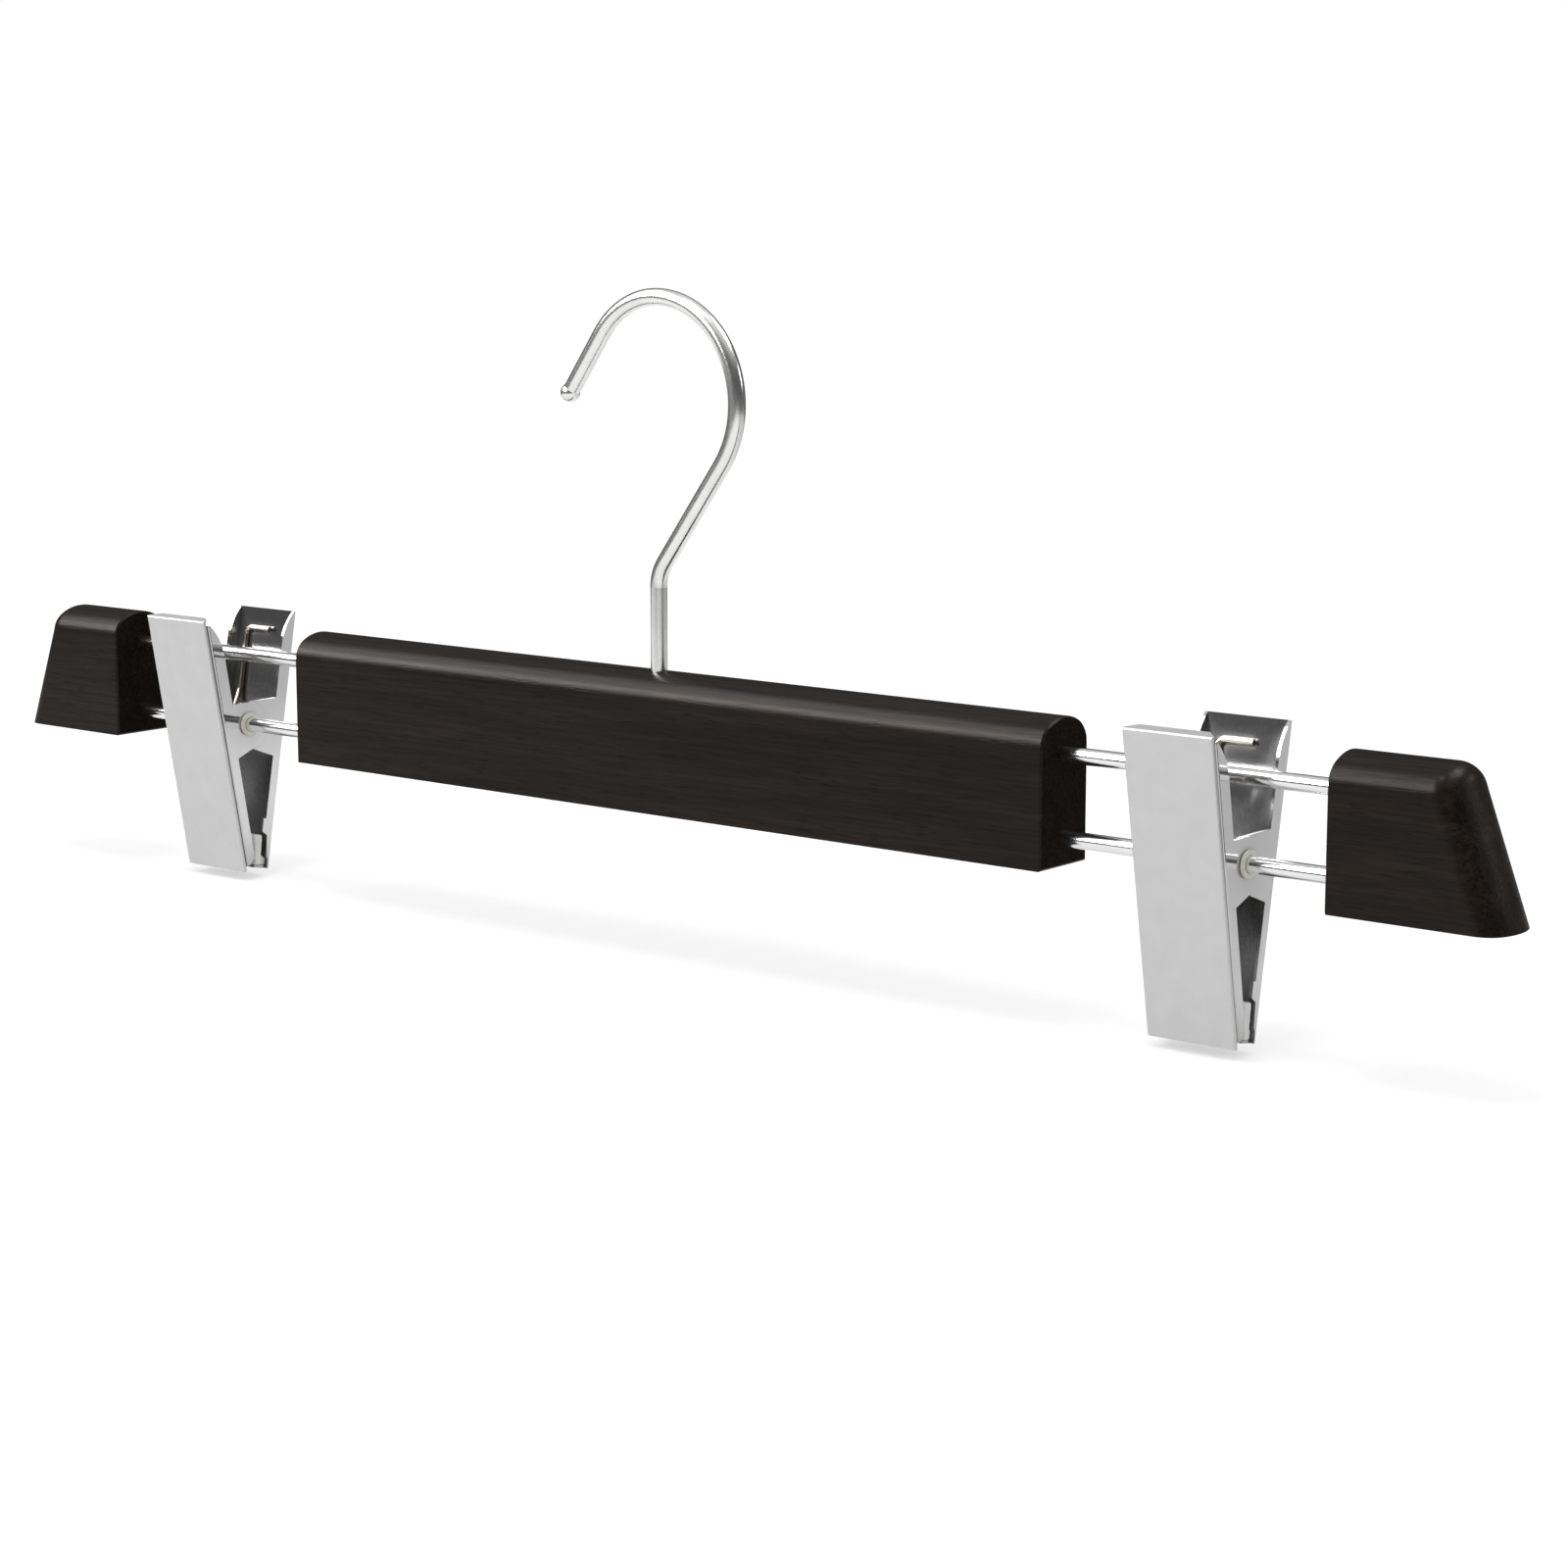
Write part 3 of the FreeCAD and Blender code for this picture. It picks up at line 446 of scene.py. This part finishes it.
class SpringPath:
    """A spring's centreline, worked out from its CAD box and its pivot."""

    def __init__(self, side):
        low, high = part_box(f"{side}_spring")
        self.pivot = Vector(joints[f"{side}_clip_open"]["pos_m"])
        self.radius = self.pivot.z - low.z - WIRE / 2
        self.half_width = (high.x - low.x - WIRE) / 2
        rear_height = high.z - WIRE / 2 - self.pivot.z
        self.rear_seat = Vector((-self.half_width, high.y - WIRE / 2, rear_height))
        self.front_seat = Vector((self.half_width, low.y + WIRE / 2, rear_height - FRONT_LEG_DROP))
        self.first = -math.pi / 2
        reach = math.hypot(self.front_seat.y, self.front_seat.z)
        leaving = math.atan2(self.front_seat.z, self.front_seat.y) + math.acos(self.radius / reach)
        self.last = leaving - math.tau * (WHOLE_TURNS + 1)

    def coil_point(self, share):
        angle = self.first + (self.last - self.first) * share
        across = self.radius * math.cos(angle)
        return Vector((self.half_width * (2 * share - 1), across, self.radius * math.sin(angle)))

    def coil(self, start, end):
        """Points round the coil between two shares of its length."""
        turns = (self.first - self.last) / math.tau * abs(end - start)
        steps = round(turns * TURN_STEPS)
        return [self.coil_point(start + (end - start) * step / steps) for step in range(steps + 1)]

    def knee(self):
        """Points from where the rear leg leaves its plate, round under the coil."""
        aside = Vector((0, math.cos(REAR_LEG_LEAN), -math.sin(REAR_LEG_LEAN)))
        rise = (self.rear_seat.dot(aside) - self.radius) / (1 - math.sin(REAR_LEG_LEAN))
        points = []
        for step in range(KNEE_STEPS):
            angle = -REAR_LEG_LEAN + (self.first + REAR_LEG_LEAN) * step / KNEE_STEPS
            across = (self.radius + rise) * math.cos(angle)
            points.append(Vector((-self.half_width, across, rise + (self.radius + rise) * math.sin(angle))))
        return points

    def leg(self, seat, foot):
        """Points from the end of the arm, round the bend and down the leg to its foot."""
        arm = Vector((-math.copysign(1, seat.x), 0, 0))
        down = Vector((0, foot.y - seat.y, foot.z - seat.z)).normalized()
        return [seat + arm * ARM_LENGTH] + arc_points(seat, -arm, down, LEG_BEND, BEND_STEPS)

    def half(self, end):
        """Points of a half from its arm's end to the coil's middle, and where it starts and ends to bend."""
        if end == "rear":
            coil = self.coil(0.0, 0.5)
            knee = self.knee()
            points = self.leg(self.rear_seat, knee[0]) + knee + coil
            way, shares = knee[0], REAR_BEND_SHARES
        else:
            coil = self.coil(1.0, 0.5)
            points = self.leg(self.front_seat, coil[0]) + coil
            way, shares = self.front_seat, FRONT_BEND_SHARES
        start, finish = (self.pivot + coil[0].lerp(way, share) for share in shares)
        return [self.pivot + point for point in points], start, finish


def tube_mesh(name, points):
    """A closed wire along the points, made from a bevelled curve."""
    curve = bpy.data.curves.new(name, "CURVE")
    curve.dimensions = "3D"
    curve.bevel_depth = WIRE / 2
    curve.bevel_resolution = WIRE_SIDES
    curve.use_fill_caps = True
    spline = curve.splines.new("POLY")
    spline.points.add(len(points) - 1)
    for point, place in zip(spline.points, points):
        point.co = (*place, 1.0)
    holder = bpy.data.objects.new(name, curve)
    bpy.context.scene.collection.objects.link(holder)
    mesh = applied_mesh(holder)
    bpy.data.objects.remove(holder)
    bpy.data.curves.remove(curve)
    mesh.shade_smooth()
    return mesh


def paint_wire_end_dark(mesh, arm_end):
    """Give the face at the arm's end the nearly black colour of painted shade."""
    mesh.materials.append(WIRE_END_PAINTED_DARK)
    for face in mesh.polygons:
        if (face.center - arm_end).length < WIRE / 4:
            face.material_index = 1
            face.use_smooth = False


def make_spring(side):
    """Each half of a spring runs from the clip's pivot to the jaw that its leg presses on; both are built as wire
    in place of the CAD spring.
    """
    path = SpringPath(side)
    for end in ("rear", "front"):
        points, start, finish = path.half(end)
        name = f"{side}_spring_{end}"
        half = new_piece(name, tube_mesh(name, points), "spring_wire")
        paint_wire_end_dark(half.data, points[0])
        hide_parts(f"{side}_spring")
        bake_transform(half)


def floor_material():
    """White paper that keeps shadows: lit as paper, and lifted to white where the camera or metal sees it."""
    look = Look("white_floor")
    fibres = look.noise(0.002)
    look.colour(look.over_middle(fibres, grey(0.64), grey(0.66)))
    look.set(Roughness=0.5, Specular_IOR_Level=0.0)
    path = look.add("ShaderNodeLightPath")
    mirrored = look.add("ShaderNodeMath", operation="MAXIMUM")
    look.link(path.outputs["Is Glossy Ray"], mirrored.inputs[0])
    look.link(path.outputs["Is Transmission Ray"], mirrored.inputs[1])
    away = look.add("ShaderNodeVectorMath", operation="DOT_PRODUCT")
    away.inputs[1].default_value = FLOOR_DIMS_TOWARDS
    look.link(look.coordinates, away.inputs[0])
    dimming = look.add("ShaderNodeMapRange")
    dimming.inputs["From Min"].default_value = FLOOR_DIMS_FROM
    dimming.inputs["From Max"].default_value = FLOOR_DIM_AT
    dimming.inputs["To Min"].default_value = NEAR_LIFT_IN_METAL
    dimming.inputs["To Max"].default_value = FAR_LIFT_IN_METAL
    look.link(away.outputs["Value"], dimming.inputs["Value"])
    lift = look.add("ShaderNodeMath", operation="MULTIPLY")
    look.link(mirrored.outputs["Value"], lift.inputs[0])
    look.link(dimming.outputs["Result"], lift.inputs[1])
    whole_lift = look.add("ShaderNodeMath", operation="MULTIPLY_ADD")
    whole_lift.inputs[1].default_value = FLOOR_LIFT
    look.link(path.outputs["Is Camera Ray"], whole_lift.inputs[0])
    look.link(lift.outputs["Value"], whole_lift.inputs[2])
    look.link(whole_lift.outputs["Value"], look.shader.inputs["Emission Strength"])
    look.set(Emission_Color=(1, 1, 1, 1))
    return look.material


def make_floor():
    mesh = bpy.data.meshes.new("floor")
    shape = bmesh.new()
    bmesh.ops.create_grid(shape, x_segments=1, y_segments=1, size=FLOOR_WIDTH / 2)
    shape.to_mesh(mesh)
    shape.free()
    floor = bpy.data.objects.new("floor", mesh)
    floor.location.z = cad_bounds[0][2] - FLOOR_GAP
    mesh.materials.append(floor_material())
    bpy.context.scene.collection.objects.link(floor)


def make_world():
    """A pale studio: white behind the object, even light on it, and a darker horizon for metal to show."""
    world = bpy.data.worlds.new("studio")
    bpy.context.scene.world = world
    world.use_nodes = True
    tree = world.node_tree
    background = tree.nodes["Background"]
    coordinates = tree.nodes.new("ShaderNodeTexCoord")
    split = tree.nodes.new("ShaderNodeSeparateXYZ")
    tree.links.new(coordinates.outputs["Generated"], split.inputs["Vector"])
    ramp = tree.nodes.new("ShaderNodeValToRGB")
    set_stops(ramp, [(place, grey(level)) for place, level in MIRRORED_LEVELS])
    tree.links.new(split.outputs["Z"], ramp.inputs["Fac"])
    path = tree.nodes.new("ShaderNodeLightPath")
    mirrored = tree.nodes.new("ShaderNodeMix")
    mirrored.data_type = "RGBA"
    mirrored.inputs["A"].default_value = (*grey(STUDIO_LEVEL), 1.0)
    tree.links.new(path.outputs["Is Glossy Ray"], mirrored.inputs["Factor"])
    tree.links.new(ramp.outputs["Color"], mirrored.inputs["B"])
    seen = tree.nodes.new("ShaderNodeMix")
    seen.data_type = "RGBA"
    seen.inputs["B"].default_value = (1, 1, 1, 1)
    tree.links.new(path.outputs["Is Camera Ray"], seen.inputs["Factor"])
    tree.links.new(mirrored.outputs["Result"], seen.inputs["A"])
    tree.links.new(seen.outputs["Result"], background.inputs["Color"])
    background.inputs["Strength"].default_value = 1.0


def make_lamp(name, place, width, height, level, diffuse):
    """A soft box that faces the hanger. One without diffuse light only makes highlights."""
    lamp = bpy.data.lights.new(name, "AREA")
    lamp.shape = "RECTANGLE"
    lamp.size = width
    lamp.size_y = height
    lamp.energy = math.pi * width * height * level
    holder = bpy.data.objects.new(name, lamp)
    holder.location = place
    holder.rotation_euler = (Vector(LAMP_TARGET) - Vector(place)).to_track_quat("-Z", "Y").to_euler()
    holder.visible_camera = False
    holder.visible_diffuse = diffuse
    bpy.context.scene.collection.objects.link(holder)


def make_camera():
    lens = bpy.data.cameras.new("camera")
    lens.lens = CAMERA_LENS
    lens.sensor_width = CAMERA_SENSOR
    camera = bpy.data.objects.new("camera", lens)
    camera.location = CAMERA_PLACE
    camera.rotation_euler = (math.pi / 2 - CAMERA_ELEVATION, 0, CAMERA_AZIMUTH)
    bpy.context.scene.collection.objects.link(camera)
    bpy.context.scene.camera = camera


dress_nodes()
for side in SIDES:
    make_pad(side, "front", 1)
    make_pad(side, "rear", -1)
    make_spring(side)
make_floor()
make_world()
for name, lamp in LAMPS.items():
    make_lamp(name, *lamp, diffuse=name == "overhead")
make_camera()
bpy.context.scene.view_settings.view_transform = "Standard"
